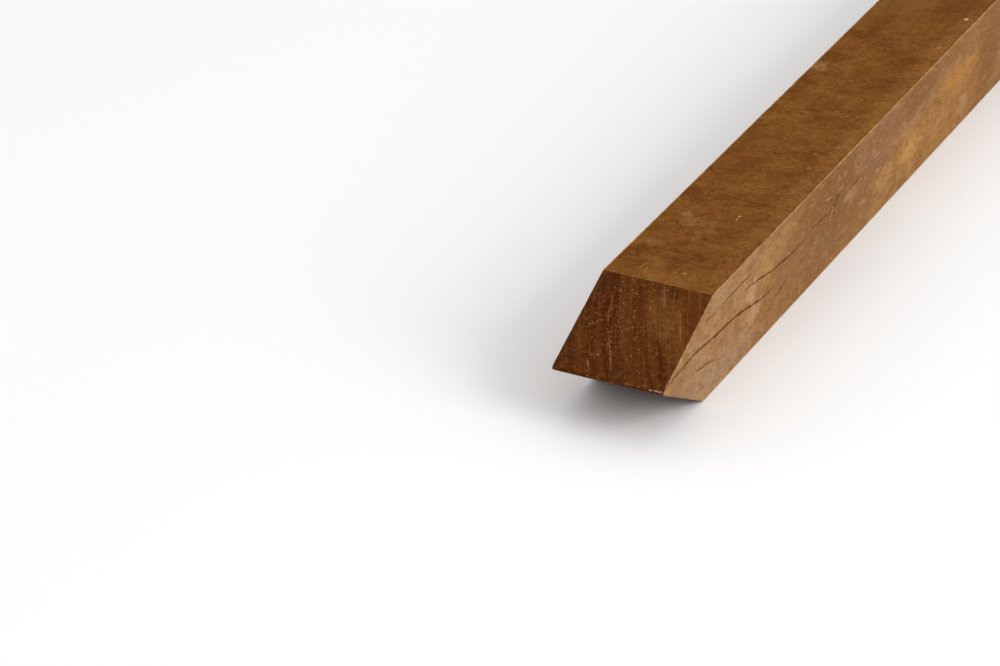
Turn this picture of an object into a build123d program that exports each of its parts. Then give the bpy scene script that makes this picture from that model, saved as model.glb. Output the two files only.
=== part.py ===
from build123d import *
import os

# A square-sawn hardwood post with a two-sided driving point, lying on one of its long faces.
# It runs along Y, with the tip of the point at the -Y end and the square-sawn head at the +Y end.
# The origin is on the underside, halfway along the post and midway across it.

# Driving dimensions, in millimetres
section_width = 60.0
section_height = 60.0
post_length = 1500.0
upper_cut_length = 64.0
lower_cut_length = 64.0
nose_height = 31.0
nose_thickness = 2.2
arris_radius = 0.8

tip_y = -post_length / 2


def sawn_stick():
    """The squared stick, crosscut to length at the head and at the tip."""
    return Box(section_width, post_length, section_height, align=(Align.CENTER, Align.CENTER, Align.MIN))


def ease_arrises(stick):
    """Rounds the four long edges, as sawn stock gets them from handling."""
    return fillet(stick.edges().filter_by(Axis.Y), arris_radius)


def saw_plane(nose_z, cut_length, face_z):
    """The plane of one slanting cut, from the nose's edge up or down to a long face."""
    along_the_cut = Vector(0, cut_length, face_z - nose_z)
    across_the_post = Vector(1, 0, 0)
    return Plane(
        origin=(0, tip_y, nose_z),
        x_dir=across_the_post,
        z_dir=across_the_post.cross(along_the_cut),
    )


def cut_point(stick):
    """Saws the point with two slanting cuts, which leave a narrow blunt nose between them."""
    upper_cut = saw_plane(nose_height + nose_thickness / 2, upper_cut_length, section_height)
    lower_cut = saw_plane(nose_height - nose_thickness / 2, lower_cut_length, 0)
    sloped_above = split(stick, bisect_by=upper_cut, keep=Keep.BOTTOM)
    return split(sloped_above, bisect_by=lower_cut, keep=Keep.TOP)


os.makedirs("parts", exist_ok=True)
post = cut_point(ease_arrises(sawn_stick()))
post.label = "post"
export_step(post, "parts/post.step")
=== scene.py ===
"""A square-sawn hardwood post with a two-sided driving point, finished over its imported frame."""
from math import atan2, cos, degrees, hypot, pi, radians, sin

import bmesh
import bpy
from mathutils import Matrix, Vector, noise


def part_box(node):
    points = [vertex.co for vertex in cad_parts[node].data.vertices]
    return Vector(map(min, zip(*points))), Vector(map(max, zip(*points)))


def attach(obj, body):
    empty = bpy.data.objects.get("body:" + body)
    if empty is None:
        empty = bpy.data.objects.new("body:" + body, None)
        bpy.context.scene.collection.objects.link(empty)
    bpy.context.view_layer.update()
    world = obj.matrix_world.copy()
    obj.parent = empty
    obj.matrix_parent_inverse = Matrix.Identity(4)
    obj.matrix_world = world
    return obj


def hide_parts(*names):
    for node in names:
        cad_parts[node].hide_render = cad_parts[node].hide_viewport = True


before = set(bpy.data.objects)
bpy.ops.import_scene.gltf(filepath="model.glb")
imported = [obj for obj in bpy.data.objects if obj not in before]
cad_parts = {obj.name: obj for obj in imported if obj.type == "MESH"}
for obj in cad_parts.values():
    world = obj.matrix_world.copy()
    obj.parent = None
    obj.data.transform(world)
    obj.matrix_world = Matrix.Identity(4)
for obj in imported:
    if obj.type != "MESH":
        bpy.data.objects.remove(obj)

MM = 0.001
QUARTER = pi / 2
ACROSS, ALONG, UP = range(3)
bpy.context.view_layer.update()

# The stick, read from the frame. It lies along Y, with its point at the low end.
NODE = "post"
low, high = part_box(NODE)
HALF_WIDTH = (high.x - low.x) / 2
HEIGHT = high.z - low.z
TIP_Y, HEAD_Y = low.y, high.y
NEAR = 0.01 * MM
corners = [v.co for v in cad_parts[NODE].data.vertices]
UPPER_SHOULDER_Y = min(c.y for c in corners if c.z > high.z - NEAR)
LOWER_SHOULDER_Y = min(c.y for c in corners if c.z < low.z + NEAR)
NOSE_TOP = max(c.z for c in corners if c.y < TIP_Y + NEAR)
NOSE_BOTTOM = min(c.z for c in corners if c.y < TIP_Y + NEAR)
UPPER_TILT = atan2(HEIGHT - NOSE_TOP, UPPER_SHOULDER_Y - TIP_Y)
LOWER_TILT = atan2(NOSE_BOTTOM, LOWER_SHOULDER_Y - TIP_Y)

# The faces, in the order of the mesh's material slots
TOP, RIGHT, LEFT, UNDER, UPPER_CUT, LOWER_CUT, NOSE, HEAD, CHECK_WALL = range(9)

# For each face, the place that its own millimetres count from and the turn that lays it flat.
# Laid flat, X runs across the face (up it, on the two sides) and Y along it, towards the head.
LAY = {
    TOP: ((0, UPPER_SHOULDER_Y, HEIGHT), (0, 0, 0)),
    RIGHT: ((HALF_WIDTH, UPPER_SHOULDER_Y, 0), (0, QUARTER, 0)),
    LEFT: ((-HALF_WIDTH, UPPER_SHOULDER_Y, 0), (0, QUARTER, 0)),
    UNDER: ((0, UPPER_SHOULDER_Y, 0), (0, 0, 0)),
    UPPER_CUT: ((0, UPPER_SHOULDER_Y, HEIGHT), (-UPPER_TILT, 0, 0)),
    LOWER_CUT: ((0, LOWER_SHOULDER_Y, 0), (LOWER_TILT, 0, 0)),
    NOSE: ((0, TIP_Y, NOSE_BOTTOM), (-QUARTER, 0, 0)),
    HEAD: ((0, HEAD_Y, 0), (-QUARTER, 0, 0)),
    CHECK_WALL: ((0, 0, 0), (0, 0, 0)),
}

# How finely the surface is divided, in metres
LONG_PITCH_NEAR = 2.0 * MM
LONG_PITCH_FAR = 5.0 * MM
CLOSE_WORK_LENGTH = 560 * MM
ACROSS_PITCH = 2.0 * MM
CUT_PITCH = 0.8 * MM
EDGE_MARGIN = 0.9 * MM
ARRIS_BEVEL = 0.45 * MM
CLOSEST_POINTS = 0.2 * MM

# A face of the plain stick looks square on when this much of its normal lies along an axis.
SQUARE_ON = 0.99
ARRIS_ANGLE = radians(12)

# How deep the relief goes, in millimetres
HOLLOW_DEPTH = 0.16
TOOTH_DEPTH = 0.10
WORN_DEPTH = 0.12
WORN_TOOTH_DEPTH = 0.20
NICK_DEPTH = 0.55
NOSE_CHIP_DEPTH = 0.45
NOSE_CHIP_REACH = 1.2

# How far in from an edge its wear reaches, in metres, and how strong it is where it isn't full. The pale
# paint along the edges is partly wear and partly painted highlight: full on the long edges and the point's
# upper right edges, weaker on the nose and the point's other edges.
WORN_WIDTH = 1.6 * MM
NOSE_WEAR_LENGTH = 2.5 * MM
SHOULDER_WEAR_AND_HIGHLIGHT = 0.58
NOSE_RUBBING_AND_HIGHLIGHT = 0.3
POINT_RUBBING_AND_HIGHLIGHT = 0.55

# Drying checks. Each has its face, its width at the mouth, its depth and the points that it runs through.
# A point says how far behind the upper shoulder it lies, and how high above the underside or, on the
# underside itself, how far right of the middle. All are in millimetres.
CHECKS = [
    (RIGHT, 0.95, 8.0, [
        (-62, 32.6), (-51, 33.8), (-37, 34.8), (-24, 35.4), (-11, 35.0), (2, 33.8), (16, 33.0),
        (30, 32.6), (42, 31.6), (54, 30.0), (64, 28.4), (76, 26.6), (88, 25.4), (95, 25.0),
    ]),
    (RIGHT, 0.70, 6.0, [
        (52, 42.0), (60, 41.4), (72, 40.0), (82, 38.4), (94, 36.6), (106, 35.6), (120, 34.6),
        (131, 34.4), (145, 34.8),
    ]),
    (RIGHT, 0.72, 5.0, [(160, 36.2), (170, 36.0), (181, 35.2)]),
    (RIGHT, 0.26, 3.0, [(216, 36.6), (224, 37.0), (234, 36.2)]),
    (RIGHT, 0.45, 3.5, [(-8, 48.4), (-3, 48.0), (7, 47.6)]),
    (RIGHT, 0.55, 5.0, [(16, 47.8), (27, 48.4), (38, 48.6), (47, 48.8), (60, 47.6)]),
    (RIGHT, 0.50, 4.0, [(-16, 23.6), (-6, 22.4), (4, 20.6), (12, 19.0)]),
    (RIGHT, 0.32, 2.5, [(102, 17.6), (112, 19.0), (120, 20.4)]),
    (LEFT, 0.60, 5.0, [(-44, 30.0), (-28, 31.0), (-10, 30.2), (10, 31.4), (34, 30.6), (52, 31.8)]),
    (LEFT, 0.44, 4.0, [(120, 21.0), (142, 21.8), (166, 20.6), (190, 22.0)]),
    (LEFT, 0.40, 3.0, [(1340, 37.0), (1368, 36.0), (1402, 37.2), (1435, 36.4)]),
    (UNDER, 0.46, 4.0, [(8, -6.0), (30, -5.2), (58, -6.4), (84, -5.6)]),
]

# The blade that cuts a check: how many steps its route takes between two points, how nearly it closes,
# half the thickness of its edge and how far it stands out of the face, in millimetres
STEPS_BETWEEN_POINTS = 6
LEAST_OPENING = 0.03
BLADE_EDGE = 0.01
BLADE_PROUD = 0.4
CHECK_CREASE = radians(30)

# The dent in the knotty bit of the right side: its middle and its half size, as on the face laid flat
KNOT_PLACE = (38.5, 192.0)
KNOT_REACH = (5.0, 8.0)
KNOT_DEPTH = 0.45


def divide(bm, axis, stations, faces=None):
    """Cuts the surface, or some of its faces, square to one axis at each station."""
    normal = Vector((0, 0, 0))
    normal[axis] = 1
    for station in stations:
        chosen = faces(bm) if faces else bm.faces[:]
        edges = {e for f in chosen for e in f.edges}
        verts = {v for e in edges for v in e.verts}
        bmesh.ops.bisect_plane(
            bm,
            geom=list(verts) + list(edges) + chosen,
            dist=NEAR,
            plane_co=normal * station,
            plane_no=normal,
        )


def even_stations(start, end, pitch):
    """Places between two ends, evenly spaced and about one pitch apart."""
    count = max(1, round(abs(end - start) / pitch))
    return [start + (end - start) * i / count for i in range(1, count)]


def across_stations(half, centre):
    """Places across a face: a margin by each arris and even steps between."""
    inner = half - EDGE_MARGIN
    steps = even_stations(-inner, inner, ACROSS_PITCH)
    return [centre + s for s in [-inner, *steps, inner]]


def face_of(face):
    """Which of the post's faces a piece of the surface belongs to, by the way it looks."""
    n = face.normal
    if n.z > SQUARE_ON:
        return TOP
    if n.z < -SQUARE_ON:
        return UNDER
    if abs(n.x) > SQUARE_ON:
        return RIGHT if n.x > 0 else LEFT
    if n.y > SQUARE_ON:
        return HEAD
    if n.y < -SQUARE_ON:
        return NOSE
    return UPPER_CUT if n.z > 0 else LOWER_CUT


def sawn_stick():
    """The stick with its two point cuts, divided finely enough to carry its relief."""
    bm = bmesh.new()
    bmesh.ops.create_cube(bm, size=1.0)
    bmesh.ops.scale(bm, vec=high - low, verts=bm.verts)
    bmesh.ops.translate(bm, vec=(high + low) / 2, verts=bm.verts)
    divide(bm, ALONG, sorted({round(UPPER_SHOULDER_Y, 6), round(LOWER_SHOULDER_Y, 6)}))
    for v in bm.verts:
        if v.co.y < TIP_Y + NEAR:
            v.co.z = NOSE_TOP if v.co.z > HEIGHT / 2 else NOSE_BOTTOM
    bm.normal_update()
    for f in bm.faces:
        f.material_index = face_of(f)

    def cut_faces(bm):
        return [f for f in bm.faces if f.material_index in (UPPER_CUT, LOWER_CUT, NOSE)]

    close_end = TIP_Y + CLOSE_WORK_LENGTH
    far_stations = even_stations(close_end, HEAD_Y, LONG_PITCH_FAR)
    cut_stations = even_stations(-HALF_WIDTH + EDGE_MARGIN, HALF_WIDTH - EDGE_MARGIN, CUT_PITCH)
    divide(bm, ALONG, even_stations(TIP_Y, UPPER_SHOULDER_Y, CUT_PITCH))
    divide(bm, ALONG, even_stations(UPPER_SHOULDER_Y, close_end, LONG_PITCH_NEAR))
    divide(bm, ALONG, [close_end, *far_stations, HEAD_Y - EDGE_MARGIN])
    divide(bm, ACROSS, across_stations(HALF_WIDTH, 0))
    divide(bm, UP, across_stations(HEIGHT / 2, HEIGHT / 2))
    divide(bm, ACROSS, cut_stations, cut_faces)
    bmesh.ops.remove_doubles(bm, verts=bm.verts, dist=CLOSEST_POINTS)
    bm.normal_update()
    arrises = [e for e in bm.edges if len(e.link_faces) == 2 and e.calc_face_angle() > ARRIS_ANGLE]
    bmesh.ops.bevel(
        bm, geom=arrises, offset=ARRIS_BEVEL, offset_type="OFFSET", affect="EDGES",
        segments=2, profile=0.5, material=-1, clamp_overlap=True,
    )
    bm.normal_update()
    return bm


def arris_nearness(co):
    """1 on an edge of the post, falling to 0 a little way in from it."""
    across = HALF_WIDTH - abs(co.x)
    if co.y < UPPER_SHOULDER_Y:
        share = (co.y - TIP_Y) / (UPPER_SHOULDER_Y - TIP_Y)
        top = NOSE_TOP + (HEIGHT - NOSE_TOP) * share
        bottom = NOSE_BOTTOM * (1 - share)
    else:
        top, bottom = HEIGHT, 0.0
    upright = min(top - co.z, co.z - bottom)
    along = min(co.y - TIP_Y, HEAD_Y - co.y)
    long_edge = sorted((across, upright, along))[1]
    shoulder = min(hypot(co.y - UPPER_SHOULDER_Y, co.z - HEIGHT), hypot(co.y - LOWER_SHOULDER_Y, co.z))
    sharp = 1.0 - long_edge / WORN_WIDTH
    blunt = SHOULDER_WEAR_AND_HIGHLIGHT * (1.0 - shoulder / WORN_WIDTH)
    return max(0.0, sharp, blunt)


def rolling(p, across, along, shift=(0, 0, 0)):
    """Smooth noise from -1 to 1, with waves about that long across the post and along it."""
    return noise.noise(Vector((p.x / across + shift[0], p.y / along + shift[1], p.z / across + shift[2])))


def slow_hollow(p):
    """The long shallow unevenness of a sawn face, from 0 to 1. The place is in millimetres."""
    return 0.5 + 0.5 * rolling(p, 30, 70)


def rough_grain(p):
    """The short roughness of the saw, from about 0 to 1. The place is in millimetres."""
    return 0.5 + 0.32 * rolling(p, 4.0, 7.0) + 0.18 * rolling(p, 1.7, 2.6, (31, 0, 0))


def nick(p):
    """Where an arris has lost a chip, from 0 to 1. The place is in millimetres."""
    return max(0.0, (rolling(p, 9, 5.5, (7, 0, 3)) - 0.3) / 0.7)


def nose_chip(p):
    """How far the thin nose is chipped back there, from 0 to about 1. The place is in millimetres."""
    return max(0.0, 0.3 + noise.noise(Vector((p.x / 2.9, 5.0, p.z / 4))))


def knot_dent(p):
    """How deep the knotty bit of the right side is sunk, from 0 to 1. The place is in millimetres."""
    if p.x < HALF_WIDTH / MM - 2:
        return 0.0
    across = (p.z - KNOT_PLACE[0]) / KNOT_REACH[0]
    along = (p.y - UPPER_SHOULDER_Y / MM - KNOT_PLACE[1]) / KNOT_REACH[1]
    return max(0.0, 1.0 - hypot(across, along))


def roughen(bm):
    """Sinks each point of the surface a little, so that faces roll and edges wear down."""
    depths = []
    for v in bm.verts:
        p = v.co / MM
        edge = arris_nearness(v.co)
        depth = HOLLOW_DEPTH * slow_hollow(p) + TOOTH_DEPTH * rough_grain(p)
        depth += edge * (WORN_DEPTH + WORN_TOOTH_DEPTH * rough_grain(p * 1.7) + NICK_DEPTH * nick(p))
        depth += KNOT_DEPTH * knot_dent(p)
        if v.co.y < TIP_Y + NOSE_CHIP_REACH * MM:
            depth += NOSE_CHIP_DEPTH * nose_chip(p)
        depths.append(depth * MM)
    for v, depth in zip(bm.verts[:], depths):
        v.co -= v.normal * depth


def smooth_route(points, steps):
    """More points on the smooth line through a few."""
    route = []
    for i in range(len(points) - 1):
        before, start = points[max(i - 1, 0)], points[i]
        end, after = points[i + 1], points[min(i + 2, len(points) - 1)]
        for step in range(steps):
            t = step / steps
            route.append(
                0.5 * (2 * start + (end - before) * t + (2 * before - 5 * start + 4 * end - after) * t * t
                       + (3 * start - before - 3 * end + after) * t * t * t)
            )
    return route + [points[-1]]


def place_on(face, behind, aside, inward):
    """A place in metres, from millimetres behind the upper shoulder, up or across a face and in from it."""
    lengthways = UPPER_SHOULDER_Y / MM + behind
    if face == RIGHT:
        return Vector((HALF_WIDTH / MM - inward, lengthways, aside)) * MM
    if face == LEFT:
        return Vector((-HALF_WIDTH / MM + inward, lengthways, aside)) * MM
    return Vector((aside, lengthways, inward)) * MM


def gape(share, spot, face):
    """How far open a check is there: nearly shut at its ends and about 1 midway."""
    shape = max(LEAST_OPENING, sin(pi * share) ** 0.6)
    return shape * (0.8 + 0.5 * noise.noise(Vector((spot.x / 7.0, 4.0, face))))


def straying(spot, face):
    """How far a check strays to the side of its route there, in millimetres."""
    broad = noise.noise(Vector((spot.x / 2.3, spot.y, face)))
    fine = noise.noise(Vector((spot.x / 1.1, 9.0, face)))
    return 0.50 * broad + 0.45 * fine


def check_blade(bm, face, width, depth, points):
    """Adds a thin wedge that opens one drying check: widest midway along, closing at both ends."""
    route = smooth_route([Vector(p) for p in points], STEPS_BETWEEN_POINTS)
    count = len(route) - 1
    before = len(bm.verts)
    made = bmesh.ops.create_cube(bm, size=1.0)["verts"]
    lengthwise = [e for e in {e for v in made for e in v.link_edges}
                  if abs(e.verts[0].co.x - e.verts[1].co.x) > 0.5]
    bmesh.ops.subdivide_edges(bm, edges=lengthwise, cuts=count - 1)
    bm.verts.ensure_lookup_table()
    for v in bm.verts[before:]:
        station = round((v.co.x + 0.5) * count)
        here = route[station]
        ahead = route[min(station + 1, count)] - route[max(station - 1, 0)]
        beside = Vector((-ahead.y, ahead.x)).normalized()
        opening = gape(station / count, here, face)
        at_mouth = v.co.z > 0
        half = width / 2 * opening if at_mouth else BLADE_EDGE
        spot = here + beside * (straying(here, face) + (half if v.co.y > 0 else -half))
        v.co = place_on(face, spot.x, spot.y, -BLADE_PROUD if at_mouth else depth * opening)


def new_object(name, bm):
    """Puts a finished surface into the scene as an object at the origin."""
    mesh = bpy.data.meshes.new(name)
    bm.to_mesh(mesh)
    bm.free()
    piece = bpy.data.objects.new(name, mesh)
    bpy.context.scene.collection.objects.link(piece)
    return piece


def open_checks(piece):
    """Cuts the drying checks out of the post, and marks their lips sharp."""
    bm = bmesh.new()
    for face, width, depth, points in CHECKS:
        check_blade(bm, face, width, depth, points)
    bmesh.ops.recalc_face_normals(bm, faces=bm.faces)
    for f in bm.faces:
        f.material_index = CHECK_WALL
    blades = new_object("check_blades", bm)
    for material in piece.data.materials:
        blades.data.materials.append(material)
    cut = piece.modifiers.new("checks", "BOOLEAN")
    cut.operation = "DIFFERENCE"
    cut.solver = "EXACT"
    cut.object = blades
    bpy.context.view_layer.update()
    opened = bpy.data.meshes.new_from_object(piece.evaluated_get(bpy.context.evaluated_depsgraph_get()))
    piece.modifiers.remove(cut)
    piece.data = opened
    bpy.data.objects.remove(blades)
    bm = bmesh.new()
    bm.from_mesh(opened)
    lip = bm.verts.layers.float.new("check_lip")
    for e in bm.edges:
        kinds = {f.material_index == CHECK_WALL for f in e.link_faces}
        e.smooth = len(kinds) == 1 and not (True in kinds and e.calc_face_angle(0) > CHECK_CREASE)
        if len(kinds) == 2:
            for v in e.verts:
                v[lip] = 1.0
    for f in bm.faces:
        f.smooth = True
    bm.to_mesh(opened)
    bm.free()


def rubbing_and_highlight(co):
    """How pale an edge is painted there, partly as handling has rubbed it and partly as painted highlight.
    The nose and most edges of the point stay dark.
    """
    if co.y < TIP_Y + NOSE_WEAR_LENGTH:
        return NOSE_RUBBING_AND_HIGHLIGHT
    on_the_point = co.y < UPPER_SHOULDER_Y - WORN_WIDTH
    upper_right = co.x > 0 and co.z > HEIGHT / 2
    return POINT_RUBBING_AND_HIGHLIGHT if on_the_point and not upper_right else 1.0


def mark_wear_and_highlight(mesh):
    """Writes how near each point is to an edge painted pale, partly where handling has rubbed it and partly
    as painted highlight.
    """
    wear = mesh.attributes.new("arris", "FLOAT", "POINT")
    wear.data.foreach_set("value", [arris_nearness(v.co) * rubbing_and_highlight(v.co) for v in mesh.vertices])


def shade(red, green, blue):
    """A colour given as screen values from 0 to 255."""
    def linear(c):
        c /= 255
        return c / 12.92 if c <= 0.04045 else ((c + 0.055) / 1.055) ** 2.4
    return (linear(red), linear(green), linear(blue), 1.0)


# The tones of the timber
ROAST = shade(102, 54, 16)
RUST = shade(146, 96, 52)
HONEY = shade(146, 100, 50)
DUST = shade(160, 122, 84)
OLIVE = shade(128, 92, 42)
STRAW = shade(176, 136, 74)
AMBER = shade(170, 116, 56)
ASH = shade(182, 146, 112)
FAWN = shade(154, 127, 101)
PLUM = shade(126, 88, 66)
MOSS = shade(126, 102, 62)
MUD = shade(128, 88, 50)
GRAVY = shade(112, 74, 42)
WALNUT = shade(120, 80, 42)
UMBER = shade(98, 58, 24)
SOOT = shade(64, 34, 14)
FRAY = shade(180, 142, 100)
BONE = shade(214, 172, 120)
CHALK = shade(232, 208, 182)
PORE_FILL = shade(176, 130, 86)
SCORE = shade(156, 111, 68)
CUT_ARRIS = shade(176, 126, 78)
HEART = shade(54, 28, 20)
HEAD_PORE = shade(166, 124, 88)
HEAD_ARRIS = shade(150, 104, 60)
# The check walls' tones are dark partly as torn wood and partly as painted shade, the shade deep inside a
# check.
CHECK_DARK = shade(66, 34, 11)
CHECK_PALE = shade(114, 68, 29)

# Stains and marks, and one painted shadow on the upper cut. Each has its tone, its middle, its half
# width and half length on the face laid flat, in millimetres, how many degrees it leans from the length
# towards the right, and how strong it is.
TOP_STAINS = [
    (HONEY, (8, 6), (20, 8), 0, 0.35),
    (ROAST, (-19, 16), (5, 9), 0, 0.60),
    (ROAST, (8, 36), (15, 9), 0, 0.22),
    (DUST, (-19, 46), (4, 6), 0, 0.30),
    (DUST, (-17, 85), (2.5, 4), -20, 0.60),
    (DUST, (-8, 82), (9, 5), -30, 0.30),
    (OLIVE, (1, 78), (3, 6), 0, 0.55),
    (ROAST, (10, 78), (5, 7), 0, 0.50),
    (HONEY, (25, 250), (6, 300), 0, 0.40),
    (ROAST, (-20, 104), (5, 15), 0, 0.45),
    (ROAST, (-18, 132), (6, 14), 0, 0.45),
    (HONEY, (-8, 132), (6, 7), 0, 0.35),
    (ROAST, (-12, 163), (11, 17), 0, 0.60),
    (HONEY, (20, 150), (8, 24), 0, 0.25),
    (ROAST, (-20, 180), (7, 12), 0, 0.45),
    (HONEY, (24, 228), (3, 24), 0, 0.55),
    (ROAST, (8, 244), (6, 14), 0, 0.40),
    (HONEY, (25, 268), (2.5, 9), 0, 0.50),
    (OLIVE, (-15, 292), (6, 16), 0, 0.30),
    (DUST, (-27, 321), (5, 7), 0, 0.60),
    (ROAST, (-21, 334), (4, 8), 0, 0.45),
    (ROAST, (20, 320), (7, 26), 0, 0.35),
    (ROAST, (-16, 400), (7, 18), 0, 0.45),
    (OLIVE, (-2, 405), (6, 8), 0, 0.40),
    (ROAST, (24, 455), (6, 20), 0, 0.40),
]
TOP_MARKS = [
    (BONE, (-13.8, 15), (0.5, 6.5), 7, 0.32),
    (BONE, (-10.8, 11.5), (0.5, 3.5), -12, 0.28),
    (BONE, (8, 17), (1.2, 1.2), 0, 0.45),
    (SOOT, (4, 22.5), (18, 0.9), 0, 0.28),
    (SOOT, (4, 30), (20, 1.0), 0, 0.40),
    (SOOT, (4, 40), (22, 1.1), 0, 0.45),
    (SOOT, (8, 121), (24, 1.0), 0, 0.40),
    (SOOT, (2, 63), (2.0, 2.0), 0, 0.60),
    (BONE, (7.5, 95.5), (0.6, 1.4), 0, 0.75),
    (BONE, (7.5, 99.5), (0.6, 1.2), 0, 0.75),
    (SOOT, (-11, 249), (0.8, 2.2), 20, 0.70),
    (BONE, (12, 259), (0.7, 1.2), 0, 0.55),
    (BONE, (24, 383), (1.3, 1.6), 0, 0.45),
    (BONE, (23.6, 434), (1.4, 2.2), 0, 0.95),
]
RIGHT_STAINS = [
    (DUST, (28, 0), (60, 70), 0, 0.45),
    (MUD, (30, 190), (60, 115), 0, 0.88),
    (MUD, (36, 420), (60, 90), 0, 0.45),
    (WALNUT, (38, 465), (50, 30), 0, 0.62),
    (WALNUT, (50, 210), (12, 36), 0, 0.40),
    (GRAVY, (36, 184), (26, 60), 0, 0.80),
    (WALNUT, (52, 300), (9, 80), 0, 0.55),
    (PLUM, (52, 310), (13, 90), 0, 0.50),
    (MUD, (24, 112), (12, 42), 0, 0.85),
    (AMBER, (18, 370), (20, 90), 0, 0.45),
    (FAWN, (26, -28), (18, 30), 20, 0.45),
    (FAWN, (9, 10), (12, 62), 0, 0.70),
    (PLUM, (16, -30), (8, 16), 20, 0.25),
    (RUST, (42, -32), (6, 18), 65, 0.60),
    (MUD, (31, -36), (9, 18), 20, 0.45),
    (MUD, (13, -46), (9, 14), 20, 0.45),
    (FAWN, (55, 12), (6, 20), 0, 0.45),
    (RUST, (43, -6), (6, 7), 0, 0.45),
    (WALNUT, (43, 24), (6, 9), 0, 0.45),
    (PLUM, (54, 58), (4, 9), 0, 0.65),
    (ASH, (36, 62), (6, 9), 0, 0.70),
    (STRAW, (46, 84), (12, 12), 10, 0.45),
    (STRAW, (37, 89), (3, 6), 0, 0.70),
    (ASH, (22, 70), (8, 12), 0, 0.65),
    (RUST, (17, 98), (13, 18), 0, 0.55),
    (STRAW, (50, 117), (8, 18), 0, 0.40),
    (WALNUT, (51, 160), (12, 42), 0, 0.90),
    (PLUM, (24, 124), (12, 22), 0, 0.45),
    (RUST, (20, 136), (10, 22), 0, 0.35),
    (ASH, (23, 166), (5, 8), 12, 0.30),
    (MOSS, (23, 184), (10, 14), -12, 0.55),
    (WALNUT, (26, 184), (9, 16), -12, 0.80),
    (WALNUT, (21, 207), (8, 18), -12, 0.85),
    (UMBER, (38.5, 192), (4, 8), 0, 0.45),
    (PLUM, (16, 206), (7, 14), -10, 0.60),
    (PLUM, (28, 236), (6, 16), -10, 0.55),
    (WALNUT, (21, 238), (7, 14), 0, 0.45),
    (ASH, (32, 222), (5, 12), -12, 0.35),
    (MOSS, (51, 228), (6, 10), 0, 0.40),
    (ASH, (46, 236), (4, 10), 24, 0.25),
    (PLUM, (38.0, 258), (5.5, 22), -14, 1.0),
    (PLUM, (52, 262), (5, 20), 0, 0.50),
    (STRAW, (20, 280), (8, 18), 0, 0.55),
    (AMBER, (5, 276), (4, 12), 0, 0.60),
    (PLUM, (42, 320), (5, 14), 0, 0.85),
    (WALNUT, (52, 334), (11, 36), 0, 0.90),
    (STRAW, (21, 322), (7, 22), -5, 0.80),
    (AMBER, (36, 388), (8, 20), -10, 0.55),
    (AMBER, (37, 414), (7, 34), -2, 0.85),
    (WALNUT, (54, 400), (8, 26), 0, 0.55),
    (WALNUT, (28, 468), (16, 22), 0, 0.90),
    (MOSS, (50, 415), (4, 9), 0, 0.80),
    (ASH, (13, 422), (6, 10), 0, 0.40),
    (RUST, (18, 442), (13, 14), 0, 0.55),
    (RUST, (5, 404), (3, 14), 0, 0.60),
]
RIGHT_MARKS = [
    (SOOT, (41.5, 189), (1.0, 5), -4, 0.75),
    (SOOT, (39.5, 197), (2.0, 2.6), 0, 0.70),
    (SOOT, (36.0, 194), (1.1, 3.5), 40, 0.75),
    (SOOT, (31.5, 193), (1.3, 2.0), 0, 0.70),
    (SOOT, (33.5, 187), (0.9, 2.5), 50, 0.65),
    (UMBER, (30.5, 376), (0.45, 20), -24, 0.60),
    (UMBER, (28.5, 474), (0.45, 17), -16, 0.75),
    (UMBER, (36.2, 210), (0.5, 6), 4, 0.50),
    (UMBER, (31, 117), (1.4, 2), 0, 0.40),
    (UMBER, (40.5, 18), (1.0, 2.2), -10, 0.45),
    (UMBER, (43.5, 24), (1.0, 1.8), 0, 0.40),
    (UMBER, (39, 51.5), (0.9, 1.2), 0, 0.40),
    (UMBER, (45, 91.5), (0.9, 1.2), 0, 0.50),
    (UMBER, (55.5, 98), (0.8, 4), -12, 0.40),
    (UMBER, (17, 45), (0.5, 6), -14, 0.40),
    (UMBER, (43, 338), (1.0, 3), -20, 0.35),
    (UMBER, (42, 377), (0.6, 6), -18, 0.40),
    (UMBER, (13, 338), (1.0, 4), -20, 0.45),
    (UMBER, (8, 348), (1.2, 2.5), -20, 0.55),
    (UMBER, (24, 364), (0.6, 3), -16, 0.40),
    (UMBER, (33, 295), (0.9, 2.0), 0, 0.50),
    (UMBER, (23, 144), (0.8, 4), 10, 0.55),
    (UMBER, (20, 112), (0.9, 4), 0, 0.55),
    (UMBER, (8.5, 147), (0.9, 2), 0, 0.60),
    (UMBER, (30, 158), (1.1, 2), 0, 0.40),
    (UMBER, (54.5, 180), (0.8, 6), -6, 0.35),
    (FRAY, (44.5, 181), (0.7, 4), -10, 0.60),
    (FRAY, (43.0, 201), (0.7, 5), -6, 0.60),
    (FRAY, (33.5, 190), (0.8, 2), 40, 0.75),
    (FRAY, (36.0, 190.5), (0.6, 2), -30, 0.65),
    (FRAY, (32.0, 212), (1.0, 5), -14, 0.30),
    (FRAY, (46.0, 227), (0.7, 6), -20, 0.38),
    (FRAY, (50.0, 207), (0.7, 3), -12, 0.60),
    (FRAY, (51.0, 256), (0.6, 4), -8, 0.30),
    (FRAY, (44.5, 256), (0.6, 3), -5, 0.40),
    (FRAY, (40.0, 262), (0.7, 9), -6, 0.55),
    (FRAY, (35.0, 236), (0.6, 4), -10, 0.50),
    (FRAY, (29.5, 268), (0.7, 7), -8, 0.50),
    (FRAY, (18.5, 246), (0.7, 4), -10, 0.55),
    (FRAY, (40.5, 384), (0.6, 8), -8, 0.45),
    (FRAY, (21.5, 322), (0.6, 5), -12, 0.45),
    (BONE, (40.8, -29), (0.9, 3), 0, 0.50),
    (BONE, (44.6, -34), (0.7, 3), 60, 0.50),
    (BONE, (40.2, -41), (0.8, 2), 60, 0.50),
    (BONE, (37.2, -52), (0.5, 10), 24, 0.55),
    (BONE, (23.6, 3), (0.8, 2.2), 20, 0.45),
    (BONE, (56, 11), (0.8, 2.5), 20, 0.35),
    (AMBER, (3, 69), (1.2, 2.0), 0, 0.70),
]
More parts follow.
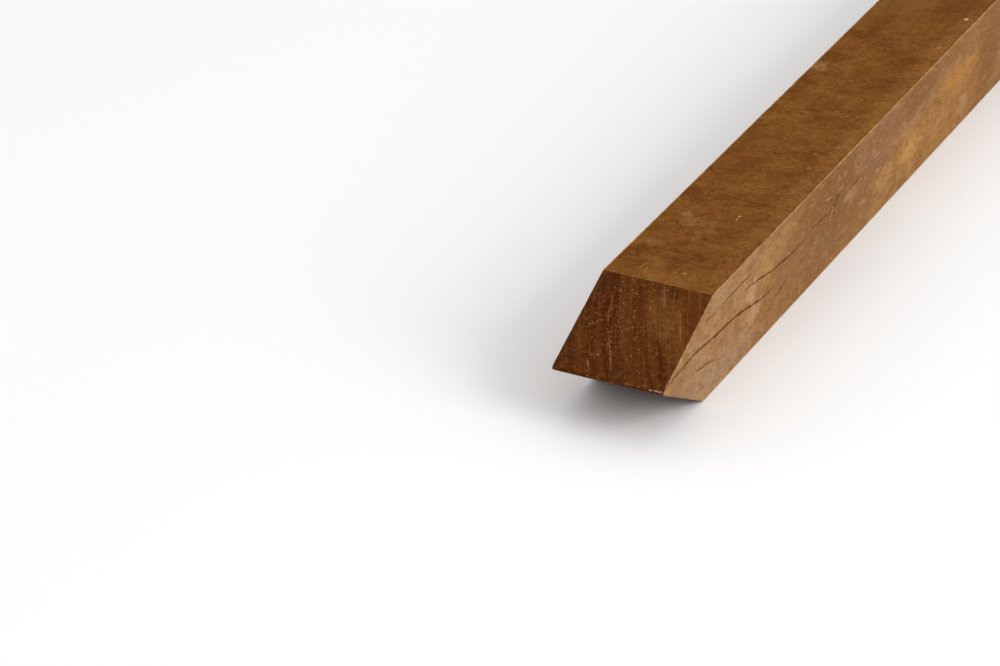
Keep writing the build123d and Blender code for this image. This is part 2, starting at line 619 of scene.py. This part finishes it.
CUT_STAINS_AND_SHADOW = [
    # Painted shadow, not a stain: the dark band down the cut's left edge stands for shade cast there.
    (SOOT, (-29, -30), (4, 42), 0, 0.60),
    (HONEY, (10, -20), (9, 18), -20, 0.30),
    (HONEY, (22, -34), (6, 20), -20, 0.22),
    (SOOT, (2, -9), (1.6, 8), -18, 0.45),
    (SOOT, (-10, -8), (1.4, 5), -10, 0.45),
    (SOOT, (-21, -20), (2.4, 12), -16, 0.40),
    (SOOT, (12, -5), (2.4, 4), -16, 0.35),
    (SOOT, (21, -5), (2.0, 6), -16, 0.35),
    (SOOT, (0, -62), (16, 7), 0, 0.35),
    (SOOT, (-24, -62), (8, 8), 0, 0.35),
]
CUT_MARKS = [
    (SCORE, (-5.4, -53), (0.45, 14), -23.9, 0.55),
    (SCORE, (-12.8, -63.8), (0.45, 4), -30, 0.60),
    (SCORE, (-17.5, -20), (0.36, 8), -16, 0.45),
    (SCORE, (-15.2, -30), (0.32, 6), -20, 0.45),
    (SCORE, (-3, -26), (0.32, 4), -21, 0.45),
    (SCORE, (7, -9), (0.36, 8), -19, 0.40),
    (SCORE, (22, -26), (0.36, 10), -21, 0.45),
    (SCORE, (14.8, -36), (0.30, 5), -22, 0.45),
    (SOOT, (-7, -67.6), (0.7, 3), 45, 0.70),
    (SOOT, (27.6, -67.0), (0.7, 3), 60, 0.70),
    (CHALK, (27.2, -70.0), (1.8, 0.6), 0, 0.80),
]
NOSE_MARKS = [
    (CHALK, (26.5, 1.9), (2.6, 0.7), 0, 0.90),
    (CHALK, (22.5, 1.4), (1.0, 0.5), 0, 0.60),
    (CHALK, (16, 2.0), (1.2, 0.4), 0, 0.50),
    (BONE, (11, 1.9), (2.0, 0.4), 0, 0.40),
]
HEAD_STAINS = [
    (RUST, (-13, 22), (15, 24), 0, 0.22),
    (HEART, (8, 34), (6, 36), 18, 0.70),
]

# Each finish counts its noise from a place of its own, this many millimetres on for each seed.
SEED_SHIFT = (61.0, 37.0, 23.0)

# A mark ends at MARK_EDGE times its reach, and MARK_FADE is the outer share of it that fades.
MARK_EDGE = 1.3
MARK_FADE = 0.65


class Finish:
    """One finish of the timber. Its patterns lie flat on a face, in millimetres, X across and Y along it."""

    def __init__(self, name, face, seed):
        self.material = bpy.data.materials.new(name)
        self.material.use_nodes = True
        self.tree = self.material.node_tree
        self.shader = self.tree.nodes["Principled BSDF"]
        coordinates = self.tree.nodes.new("ShaderNodeTexCoord")
        origin, turn = LAY[face]
        place = self.vector("SUBTRACT", coordinates.outputs["Object"], origin)
        laid = self.node(
            "ShaderNodeVectorRotate", {"Vector": place, "Rotation": turn}, rotation_type="EULER_XYZ"
        ).outputs[0]
        self.face = self.vector("MULTIPLY", laid, (1 / MM, 1 / MM, 1 / MM))
        self.grain = self.vector("ADD", self.face, [seed * shift for shift in SEED_SHIFT])
        self.torn = None

    def node(self, kind, inputs=(), **settings):
        """A new node. Each input is joined to a socket or set to a value."""
        made = self.tree.nodes.new(kind)
        for setting, value in settings.items():
            setattr(made, setting, value)
        for socket, value in dict(inputs).items():
            if isinstance(value, bpy.types.NodeSocket):
                self.tree.links.new(value, made.inputs[socket])
            else:
                made.inputs[socket].default_value = value
        return made

    def vector(self, operation, a, b):
        return self.node("ShaderNodeVectorMath", {0: a, 1: b}, operation=operation).outputs[0]

    def math(self, operation, a, b):
        return self.node("ShaderNodeMath", {0: a, 1: b}, operation=operation).outputs[0]

    def product(self, a, b):
        return self.math("MULTIPLY", a, b)

    def sum(self, *values):
        total = values[0]
        for value in values[1:]:
            total = self.math("ADD", total, value)
        return total

    def length(self, place):
        return self.node("ShaderNodeVectorMath", {0: place}, operation="LENGTH").outputs["Value"]

    def noise(self, place, size, detail=2.0, roughness=0.5, distortion=0.0):
        """Soft noise whose features are about that size."""
        return self.node(
            "ShaderNodeTexNoise",
            {"Vector": place, "Scale": 1 / size, "Detail": detail, "Roughness": roughness,
             "Distortion": distortion},
        ).outputs[0]

    def ramp(self, value, start, end, low=0.0, high=1.0):
        """Low up to the start, high from the end on, and smooth between."""
        return self.node(
            "ShaderNodeMapRange",
            {"Value": value, "From Min": start, "From Max": end, "To Min": low, "To Max": high},
            interpolation_type="SMOOTHSTEP",
        ).outputs[0]

    def blend(self, under, over, amount):
        """The colour over laid on the colour under, by an amount from 0 to 1."""
        return self.node("ShaderNodeMix", {0: amount, 6: under, 7: over}, data_type="RGBA").outputs[2]

    def toned(self, colour, tone, pattern, start, end, strength):
        """Lays a tone on a colour, from nothing at the pattern's start to its full strength at the end."""
        return self.blend(colour, tone, self.ramp(pattern, start, end, 0.0, strength))

    def leant(self, lean, place):
        """The place, turned so that what leans that many degrees to the right runs along Y."""
        return self.node(
            "ShaderNodeVectorRotate", {"Vector": place, "Angle": radians(lean)}, rotation_type="Z_AXIS"
        ).outputs[0]

    def streaks(self, width, length, lean=0.0, detail=3.0, roughness=0.6):
        """Noise drawn out one way, in streaks of about that width and length."""
        drawn = self.vector("MULTIPLY", self.leant(lean, self.grain), (1 / width, 1 / length, 1 / width))
        return self.noise(drawn, 1.0, detail, roughness)

    def figure(self, width, length, detail):
        """Bands that run along the post as its grain does, bending a little. From 0 to 1."""
        slow = self.noise(self.vector("MULTIPLY", self.grain, (0.3, 1.0, 0.3)), 130.0, 1.0)
        sideways = self.node("ShaderNodeCombineXYZ", {0: self.product(slow, 40.0)}).outputs[0]
        bent = self.vector("ADD", self.grain, sideways)
        drawn = self.vector("MULTIPLY", bent, (1 / width, 1 / length, 1 / width))
        return self.noise(drawn, 1.0, detail, 0.6)

    def dots(self, across, along, radius, share, lean=0.0):
        """Small ragged dots, at most one to a cell of that size. From 0 outside to 1 in the strongest."""
        if self.torn is None:
            curl = self.node("ShaderNodeTexNoise", {"Vector": self.grain, "Scale": 1.1, "Detail": 1.0})
            pushed = self.vector("SUBTRACT", curl.outputs["Color"], (0.5, 0.5, 0.5))
            self.torn = self.vector("ADD", self.grain, self.vector("MULTIPLY", pushed, (2.4, 2.4, 0)))
        leant = self.leant(lean, self.torn)
        drawn = self.vector("MULTIPLY", leant, (1 / across, 1 / along, 0.0))
        cells = self.node("ShaderNodeTexVoronoi", {"Vector": drawn, "Scale": 1.0}, voronoi_dimensions="2D")
        draws = self.node("ShaderNodeSeparateColor", {0: cells.outputs["Color"]}).outputs
        chosen = self.math("LESS_THAN", draws[0], share)
        reach = self.product(self.ramp(draws[1], 0.0, 1.0, 0.4, 1.0), radius / across)
        spot = self.ramp(self.math("DIVIDE", cells.outputs["Distance"], reach), 1.1, 0.5)
        strength = self.ramp(draws[2], 0.0, 1.0, 0.35, 1.0)
        return self.product(self.product(chosen, strength), spot)

    def marked(self, colour, marks, wander):
        """Lays soft-edged marks on a colour, their outlines wandering by about that many millimetres."""
        curl = self.node("ShaderNodeTexNoise", {"Vector": self.face, "Scale": 0.4 / wander, "Detail": 3.0})
        pushed = self.vector("SUBTRACT", curl.outputs["Color"], (0.5, 0.5, 0.5))
        place = self.vector("ADD", self.face, self.vector("MULTIPLY", pushed, (5 * wander, 5 * wander, 0)))
        patchy = self.ramp(self.noise(self.grain, 2.2, 3, 0.6), 0.38, 0.58, 0.45, 1.0)
        for tone, middle, reach, lean, strength in marks:
            spot = self.node("ShaderNodeTexGradient", {"Vector": place}, gradient_type="SPHERICAL")
            spot.texture_mapping.vector_type = "TEXTURE"
            spot.texture_mapping.translation = (*middle, 0)
            spot.texture_mapping.rotation = (0, 0, -radians(lean))
            spot.texture_mapping.scale = (MARK_EDGE * reach[0], MARK_EDGE * reach[1], 1000)
            inside = self.ramp(spot.outputs["Fac"], 0.0, MARK_FADE, 0.0, strength)
            colour = self.blend(colour, tone, self.product(inside, patchy))
        return colour

    # Paints the edges pale, partly as wear and partly as painted highlight.
    def edge_wear_and_painted_light(self, colour, tone, strength):
        wear = self.node("ShaderNodeAttribute", attribute_name="arris").outputs["Fac"]
        broken = self.ramp(self.noise(self.grain, 7, 4, 0.7), 0.38, 0.60, 0.28 * strength, 0.90 * strength)
        colour = self.blend(colour, tone, self.product(self.ramp(wear, 0.35, 0.75), broken))
        # Painted shade: the wood along the lips of the checks is darkened, as shade at the checks' mouths.
        lip = self.node("ShaderNodeAttribute", attribute_name="check_lip").outputs["Fac"]
        return self.blend(colour, UMBER, self.ramp(lip, 0.2, 1.0, 0.0, 0.65))

    def finish(self, colour, height, depth, roughness=0.85):
        """Joins the colour and the bump to the shader. The bump's depth is in metres."""
        self.tree.links.new(colour, self.shader.inputs["Base Color"])
        self.shader.inputs["Roughness"].default_value = roughness
        self.shader.inputs["Specular IOR Level"].default_value = 0.03
        bump = self.node("ShaderNodeBump", {"Height": height, "Distance": depth, "Strength": 1.0})
        self.tree.links.new(bump.outputs[0], self.shader.inputs["Normal"])
        return self.material


def timber_ground(f, tones, mottle, smear_lean, clouded, banded):
    """The ground of a long face: clouds of a deep and a light tone, and the grain's bands and vessels."""
    deep, middle, light = tones
    billows = f.vector("MULTIPLY", f.leant(smear_lean, f.grain), (1.0, 0.65, 1.0))
    clouds = f.noise(billows, 14, 5, 0.68, 0.5)
    speckled = f.sum(f.product(mottle, 0.6), f.product(clouds, 0.4))
    bands = f.figure(9.0, 260.0, 4.0)
    vessels = f.figure(0.5, 14.0, 2.0)
    colour = f.blend(middle, deep, f.product(clouded, f.ramp(clouds, 0.54, 0.34)))
    colour = f.blend(colour, light, f.product(clouded, f.ramp(speckled, 0.49, 0.66)))
    colour = f.blend(colour, deep, f.product(banded, f.ramp(bands, 0.48, 0.62)))
    colour = f.blend(colour, light, f.product(banded, f.ramp(bands, 0.50, 0.36, 0, 0.8)))
    return f.blend(colour, deep, f.product(banded, f.ramp(vessels, 0.54, 0.66)))


def drifted(f, colour, drifts, smear_lean, bare):
    """Lays long drifts of other tones over the stretch that is bare of the listed stains."""
    for number, tone in enumerate(drifts):
        shifted = f.leant(smear_lean * 0.5, f.vector("ADD", f.grain, (0, 0, 200.0 * number)))
        long_patches = f.noise(f.vector("MULTIPLY", shifted, (1.0, 0.16, 1.0)), 20, 3, 0.55)
        colour = f.blend(colour, tone, f.product(f.ramp(long_patches, 0.48, 0.68, 0, 0.55), bare))
    return colour


def long_face(name, face, seed, tones, drifts, bare_until, cloudy, figured, fibre_lean, hair, smear_lean,
              smeared, pitted, stains=(), marks=()):
    """A rough-sawn long face: clouded and mottled, with saw fibres, pores, pits, stains and pale arrises.

    The listed stains end about bare_until millimetres behind the upper shoulder. Cloudy and figured each
    give two strengths, ahead of that place and behind it. The leans are in degrees from the length, and
    the other settings are strengths from 0 to 1.
    """
    deep, _, light = tones
    f = Finish(name, face, seed)
    mottle = f.noise(f.grain, 4.2, 5, 0.72)
    grit = f.noise(f.grain, 1.1, 2, 0.6)
    fibres = f.streaks(0.8, 4.0, fibre_lean)
    smears = f.streaks(4.2, 13.0, smear_lean, 5.0, 0.72)
    pores = f.streaks(0.55, 9.0, 0.0, 2.0)
    behind = f.node("ShaderNodeSeparateXYZ", {0: f.face}).outputs[1]
    bare = f.ramp(behind, bare_until - 30, bare_until + 30)
    clouded = f.ramp(behind, bare_until - 60, bare_until + 60, *cloudy)
    banded = f.ramp(behind, bare_until - 60, bare_until + 60, *figured)
    colour = timber_ground(f, tones, mottle, smear_lean, clouded, banded)
    colour = drifted(f, colour, drifts, smear_lean, bare)
    colour = f.marked(colour, stains, 4.0)
    colour = f.toned(colour, deep, smears, 0.51, 0.66, smeared)
    colour = f.toned(colour, light, smears, 0.48, 0.33, 0.75 * smeared)
    colour = f.toned(colour, deep, fibres, 0.53, 0.64, 0.75 * hair)
    colour = f.toned(colour, light, fibres, 0.45, 0.34, 0.55 * hair)
    colour = f.toned(colour, deep, pores, 0.55, 0.68, 0.50 * hair)
    colour = f.toned(colour, light, grit, 0.56, 0.70, 0.35)
    colour = f.toned(colour, deep, grit, 0.42, 0.32, 0.30)
    crowd = f.ramp(f.noise(f.grain, 18, 3), 0.40, 0.62, 0.12 * pitted, pitted)
    pits = f.dots(2.6, 3.2, 0.75, crowd)
    dashes = f.dots(1.4, 5.0, 0.42, crowd, fibre_lean)
    flecks = f.dots(3.4, 3.4, 0.50, 0.16, 30)
    colour = f.blend(colour, SOOT, f.sum(f.product(pits, 0.5 + 0.3 * pitted), f.product(dashes, 0.5)))
    colour = f.blend(colour, BONE, f.product(flecks, 0.28))
    colour = f.marked(colour, marks, 0.5)
    colour = f.edge_wear_and_painted_light(colour, BONE, 1.0)
    height = f.sum(f.product(mottle, 0.4), f.product(grit, 0.5), f.product(fibres, -0.6),
                   f.product(pores, -0.4), f.product(pits, -0.7))
    return f.finish(colour, height, 0.35 * MM)


def saw_arcs(f, saw_centre, seed):
    """The arcs that the saw left on a cut: fine streaks and broader bands round the saw's centre."""
    arc = f.length(f.vector("SUBTRACT", f.face, (*saw_centre, 0)))
    turned = f.leant(degrees(-atan2(saw_centre[1], saw_centre[0])), f.grain)
    down = f.node("ShaderNodeSeparateXYZ", {0: turned}).outputs[1]
    drawn = f.node("ShaderNodeCombineXYZ", {0: arc, 1: f.product(down, 0.03), 2: seed}).outputs[0]
    return f.noise(drawn, 1.0, 3, 0.7), f.noise(drawn, 5.0, 2, 0.5)


def cut_face(name, face, seed, tones, saw_centre, crowded, stains=(), marks=()):
    """A cut across the end of the grain: dark, with arcs left by the saw and pale filled pores."""
    deep, middle, light = tones
    f = Finish(name, face, seed)
    streaks, bands = saw_arcs(f, saw_centre, seed)
    mottle = f.noise(f.grain, 3.2, 4, 0.7)
    colour = f.blend(deep, middle, f.ramp(f.sum(f.product(bands, 0.5), f.product(mottle, 0.5)), 0.38, 0.58))
    # On the upper cut these stains include a painted shadow down its left edge.
    colour = f.marked(colour, stains, 1.6)
    colour = f.toned(colour, light, streaks, 0.52, 0.74, 0.54)
    colour = f.toned(colour, SOOT, streaks, 0.47, 0.30, 0.60)
    colour = f.toned(colour, light, mottle, 0.56, 0.70, 0.35)
    aside = f.vector("DIVIDE", f.vector("SUBTRACT", f.face, (*crowded, 0)), (20, 38, 1000))
    near = f.ramp(f.length(aside), 1.4, 0.3, 0.10, 0.85)
    crowd = f.product(near, f.ramp(f.noise(f.grain, 7, 3), 0.36, 0.60, 0.25, 1.0))
    pores = f.dots(1.5, 1.9, 0.36, crowd, 20)
    dust = f.dots(1.2, 1.2, 0.28, 0.25, 50)
    colour = f.blend(colour, PORE_FILL, f.product(pores, 0.68))
    colour = f.blend(colour, PORE_FILL, f.product(dust, 0.50))
    colour = f.marked(colour, marks, 0.25)
    colour = f.edge_wear_and_painted_light(colour, CUT_ARRIS, 0.8)
    height = f.sum(f.product(streaks, 1.0), f.product(mottle, 0.5), f.product(pores, 0.2))
    return f.finish(colour, height, 0.2 * MM, 0.75)


def end_grain(name, face, seed, tones, heart):
    """The square head: dense pale pores on dark wood, in rings round a heart outside the post."""
    deep, middle, light = tones
    f = Finish(name, face, seed)
    mottle = f.noise(f.grain, 5, 5, 0.7)
    grit = f.noise(f.grain, 1.0, 3, 0.65)
    from_heart = f.length(f.vector("SUBTRACT", f.face, (*heart, 0)))
    outwards = f.node("ShaderNodeCombineXYZ", {0: from_heart, 1: 0.0, 2: seed}).outputs[0]
    rings = f.noise(outwards, 5.0, 3, 0.6)
    colour = f.blend(deep, middle, f.ramp(mottle, 0.36, 0.58))
    colour = f.toned(colour, light, rings, 0.5, 0.7, 0.35)
    colour = f.marked(colour, HEAD_STAINS, 3.0)
    colour = f.toned(colour, SOOT, grit, 0.46, 0.34, 0.6)
    crowd = f.ramp(f.noise(f.grain, 14, 2), 0.36, 0.60, 0.25, 0.85)
    pores = f.dots(1.6, 1.8, 0.36, crowd, 20)
    fine_pores = f.dots(1.0, 1.1, 0.24, 0.75, -25)
    colour = f.blend(colour, HEAD_PORE, f.sum(f.product(pores, 0.55), f.product(fine_pores, 0.40)))
    colour = f.edge_wear_and_painted_light(colour, HEAD_ARRIS, 0.7)
    height = f.sum(f.product(mottle, 0.5), f.product(grit, 0.7), f.product(pores, -0.3))
    return f.finish(colour, height, 0.25 * MM, 0.8)


def check_wall():
    """The torn wood inside a drying check, dark partly in itself and partly as painted shade."""
    f = Finish("check wall", CHECK_WALL, 9)
    tone = f.noise(f.vector("MULTIPLY", f.grain, (1, 0.2, 1)), 1.2, 3, 0.6)
    colour = f.blend(CHECK_DARK, CHECK_PALE, tone)
    return f.finish(colour, tone, 0.2 * MM, 0.9)


def timber_finishes():
    """The finishes in the order of the face numbers."""
    top_tones = (shade(102, 56, 16), shade(119, 73, 26), shade(140, 96, 46))
    # Painted light: the right face's tones are lighter and greyer than the top's, partly its own colour and
    # partly the brighter light and sheen on that side.
    right_tones_with_painted_light = (shade(124, 85, 50), shade(146, 107, 67), shade(170, 132, 92))
    left_tones = (shade(112, 70, 34), shade(138, 96, 54), shade(162, 120, 76))
    under_tones = (shade(100, 58, 24), shade(122, 78, 38), shade(144, 100, 58))
    cut_tones = (shade(64, 28, 4), shade(90, 47, 13), shade(128, 80, 38))
    head_tones = (shade(66, 38, 20), shade(88, 54, 30), shade(112, 74, 44))
    return [
        long_face(
            "top face", TOP, 1, top_tones, drifts=(ROAST, OLIVE), bare_until=420, cloudy=(1.0, 0.60),
            figured=(0.15, 0.60), fibre_lean=64, hair=0.42, smear_lean=50, smeared=0.22, pitted=0.80,
            stains=TOP_STAINS, marks=TOP_MARKS,
        ),
        long_face(
            "right face", RIGHT, 2, right_tones_with_painted_light, drifts=(PLUM, AMBER), bare_until=460, cloudy=(1.0, 0.55),
            figured=(0.12, 0.65), fibre_lean=-8, hair=0.38, smear_lean=-8, smeared=0.60, pitted=0.15,
            stains=RIGHT_STAINS, marks=RIGHT_MARKS,
        ),
        long_face(
            "left face", LEFT, 3, left_tones, drifts=(PLUM, HONEY), bare_until=-100, cloudy=(0.55, 0.55),
            figured=(0.60, 0.60), fibre_lean=10, hair=0.45, smear_lean=-10, smeared=0.30, pitted=0.30,
        ),
        long_face(
            "underside", UNDER, 4, under_tones, drifts=(ROAST, HONEY), bare_until=-100, cloudy=(0.55, 0.55),
            figured=(0.60, 0.60), fibre_lean=-70, hair=0.45, smear_lean=-50, smeared=0.20, pitted=0.60,
        ),
        cut_face("upper point cut", UPPER_CUT, 5, cut_tones, saw_centre=(329, 98), crowded=(-11, -22),
                 stains=CUT_STAINS_AND_SHADOW, marks=CUT_MARKS),
        cut_face("lower point cut", LOWER_CUT, 6, cut_tones, saw_centre=(-300, 90), crowded=(8, -30)),
        cut_face("blunt nose", NOSE, 7, cut_tones, saw_centre=(300, 20), crowded=(0, 0), marks=NOSE_MARKS),
        end_grain("head end grain", HEAD, 8, head_tones, heart=(-170, 40)),
        check_wall(),
    ]


def build_post():
    """The whole post: its surface, its checks, its wear and its finishes."""
    bm = sawn_stick()
    roughen(bm)
    piece = new_object("sawn_post", bm)
    for finish in timber_finishes():
        piece.data.materials.append(finish)
    open_checks(piece)
    mark_wear_and_highlight(piece.data)
    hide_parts(NODE)
    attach(piece, "root")
    return piece


FLOOR_REACH = 30.0
FLOOR_TONE = (0.94, 0.94, 0.94, 1)
SKY_STRENGTH = 0.84


def pale_floor():
    """A plain pale floor, well past the view on every side."""
    bm = bmesh.new()
    bmesh.ops.create_grid(bm, x_segments=1, y_segments=1, size=FLOOR_REACH)
    floor = new_object("pale_floor", bm)
    material = bpy.data.materials.new("pale floor")
    material.use_nodes = True
    shader = material.node_tree.nodes["Principled BSDF"]
    shader.inputs["Base Color"].default_value = FLOOR_TONE
    shader.inputs["Roughness"].default_value = 0.9
    shader.inputs["Specular IOR Level"].default_value = 0.1
    floor.data.materials.append(material)


def soft_lamp(name, place, aim, size, power):
    """A large square lamp that looks at a point."""
    data = bpy.data.lights.new(name, "AREA")
    data.shape = "SQUARE"
    data.size = size
    data.energy = power
    lamp = bpy.data.objects.new(name, data)
    lamp.location = place
    lamp.rotation_euler = (Vector(aim) - Vector(place)).to_track_quat("-Z", "Y").to_euler()
    bpy.context.scene.collection.objects.link(lamp)


def studio_light():
    """Soft light from all round, with more from the right."""
    world = bpy.data.worlds.new("studio")
    world.use_nodes = True
    background = world.node_tree.nodes["Background"]
    background.inputs["Color"].default_value = (1, 1, 1, 1)
    background.inputs["Strength"].default_value = SKY_STRENGTH
    bpy.context.scene.world = world
    soft_lamp("right_softbox", place=(3.0, -1.2, 1.8), aim=(0, -0.5, 0), size=2.2, power=66)
    bpy.context.scene.view_settings.view_transform = "Standard"


# The camera, fitted to the edges of the post. Angles are in degrees.
AZIMUTH = 20.5
ELEVATION = 24.88
ROLL = 4.46
DISTANCE = 2.72528
AIM = Vector((-0.0686, -0.72365, 0.030))
FOCAL_LENGTH = 194.41
SENSOR_WIDTH = 36.0


def photo_camera():
    """A long lens, looking down along the post from beyond its point."""
    a, e = radians(AZIMUTH), radians(ELEVATION)
    back = Vector((sin(a) * cos(e), -cos(a) * cos(e), sin(e)))
    right = Vector((0, 0, 1)).cross(back).normalized()
    up = back.cross(right)
    turn = Matrix((right, up, back)).transposed() @ Matrix.Rotation(radians(ROLL), 3, "Z")
    data = bpy.data.cameras.new("camera")
    data.sensor_width = SENSOR_WIDTH
    data.lens = FOCAL_LENGTH
    data.clip_end = 100
    camera = bpy.data.objects.new("camera", data)
    camera.matrix_world = Matrix.Translation(AIM + back * DISTANCE) @ turn.to_4x4()
    bpy.context.scene.collection.objects.link(camera)
    bpy.context.scene.camera = camera


build_post()
pale_floor()
studio_light()
photo_camera()
